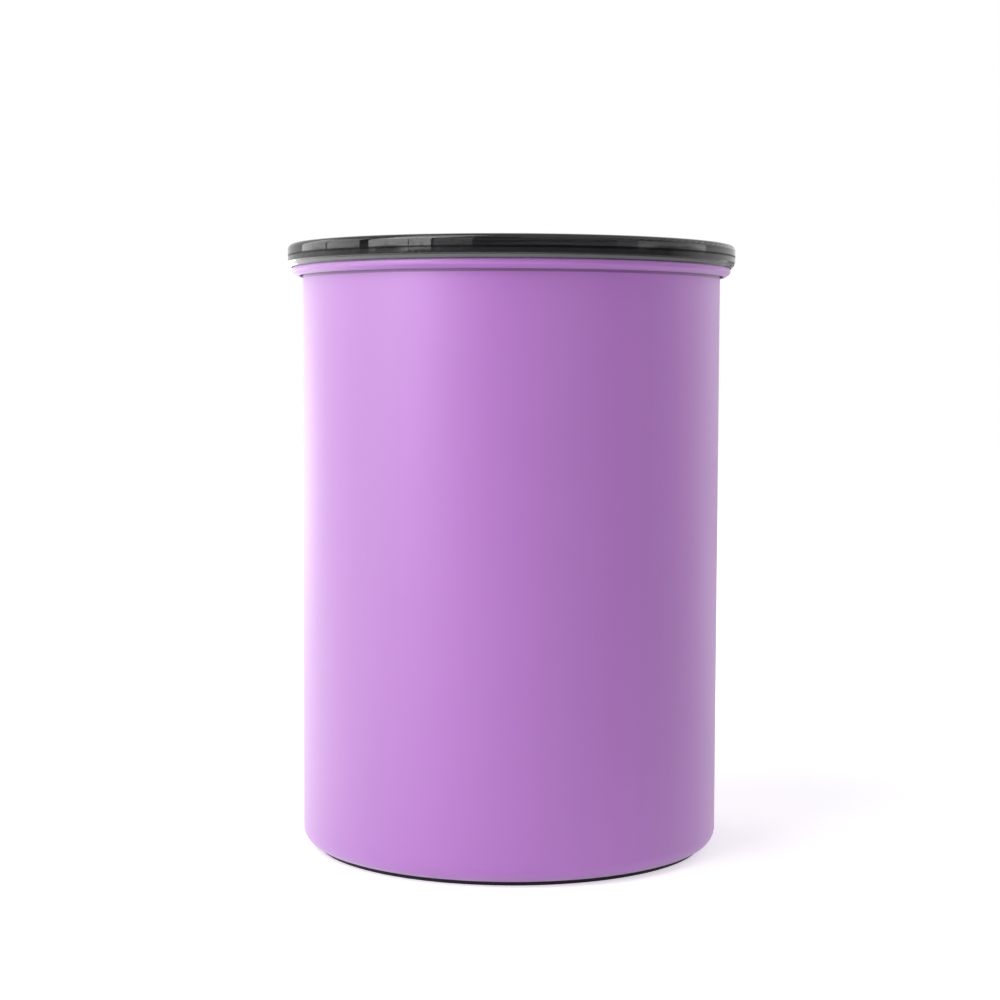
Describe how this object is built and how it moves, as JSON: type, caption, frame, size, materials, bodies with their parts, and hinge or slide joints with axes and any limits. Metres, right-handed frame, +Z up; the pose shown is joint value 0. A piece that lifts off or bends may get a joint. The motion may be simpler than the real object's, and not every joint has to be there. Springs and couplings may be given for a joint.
{
  "type": "coffee canister",
  "caption": "Tall round steel coffee canister with a rolled rim, a tinted press-on lid and a plunging inner lid whose folding handle opens an air valve.",
  "frame": {"origin": "centre of the underside of the base ring, on the surface that the canister stands on", "axes": "+Z up through the lid; the hinge line of the inner lid's handle runs along X and the folded handle points along -Y"},
  "size_m": [0.1308, 0.1308, 0.176],
  "materials": {
    "coated_steel": "matte purple powder coat outside, bare brushed steel inside",
    "black_rubber": "matte",
    "smoke_plastic": "gloss, see-through smoke tint",
    "black_silicone": "satin",
    "charcoal_plastic": "fine moulded texture",
    "grey_plastic": "satin",
    "clear_silicone": "satin, milky",
    "black_plastic": "soft gloss",
    "plain_steel": "turned"
  },
  "bodies": {
    "canister": {"canister_body": "coated_steel", "base_ring": "black_rubber"},
    "outer_lid": {"outer_lid": "smoke_plastic", "lid_seal": "black_silicone"},
    "inner_lid": {"inner_lid": "charcoal_plastic", "wiper_gasket": "black_silicone", "valve_housing": "charcoal_plastic", "housing_seal": "black_silicone", "housing_screws": "plain_steel", "valve_spring": "plain_steel", "handle_pins": "plain_steel"},
    "valve": {"valve_poppet": "grey_plastic", "valve_seal": "clear_silicone", "stem_clip": "plain_steel", "valve_cap": "grey_plastic", "cap_screw": "plain_steel"},
    "handle": {"handle": "black_plastic"}
  },
  "joints": [
    {"name": "outer_lid_lift", "type": "slide", "parent": "canister", "child": "outer_lid", "axis": [0, 0, 1], "range_m": [0, 0.09]},
    {"name": "inner_lid_slide", "type": "slide", "parent": "canister", "child": "inner_lid", "axis": [0, 0, 1], "range_m": [-0.099, 0]},
    {"name": "handle_fold", "type": "hinge", "parent": "inner_lid", "child": "handle", "pos_m": [0, 0, 0.1296], "axis": [-1, 0, 0], "range_deg": [0, 90]},
    {"name": "valve_lift", "type": "slide", "parent": "inner_lid", "child": "valve", "axis": [0, 0, 1], "range_m": [0, 0.003], "deforming": ["valve_spring"]}
  ],
  "couplings": [
    {"joint": "valve_lift", "follows": "handle_fold", "m_per_rad": 0.0019098}
  ]
}
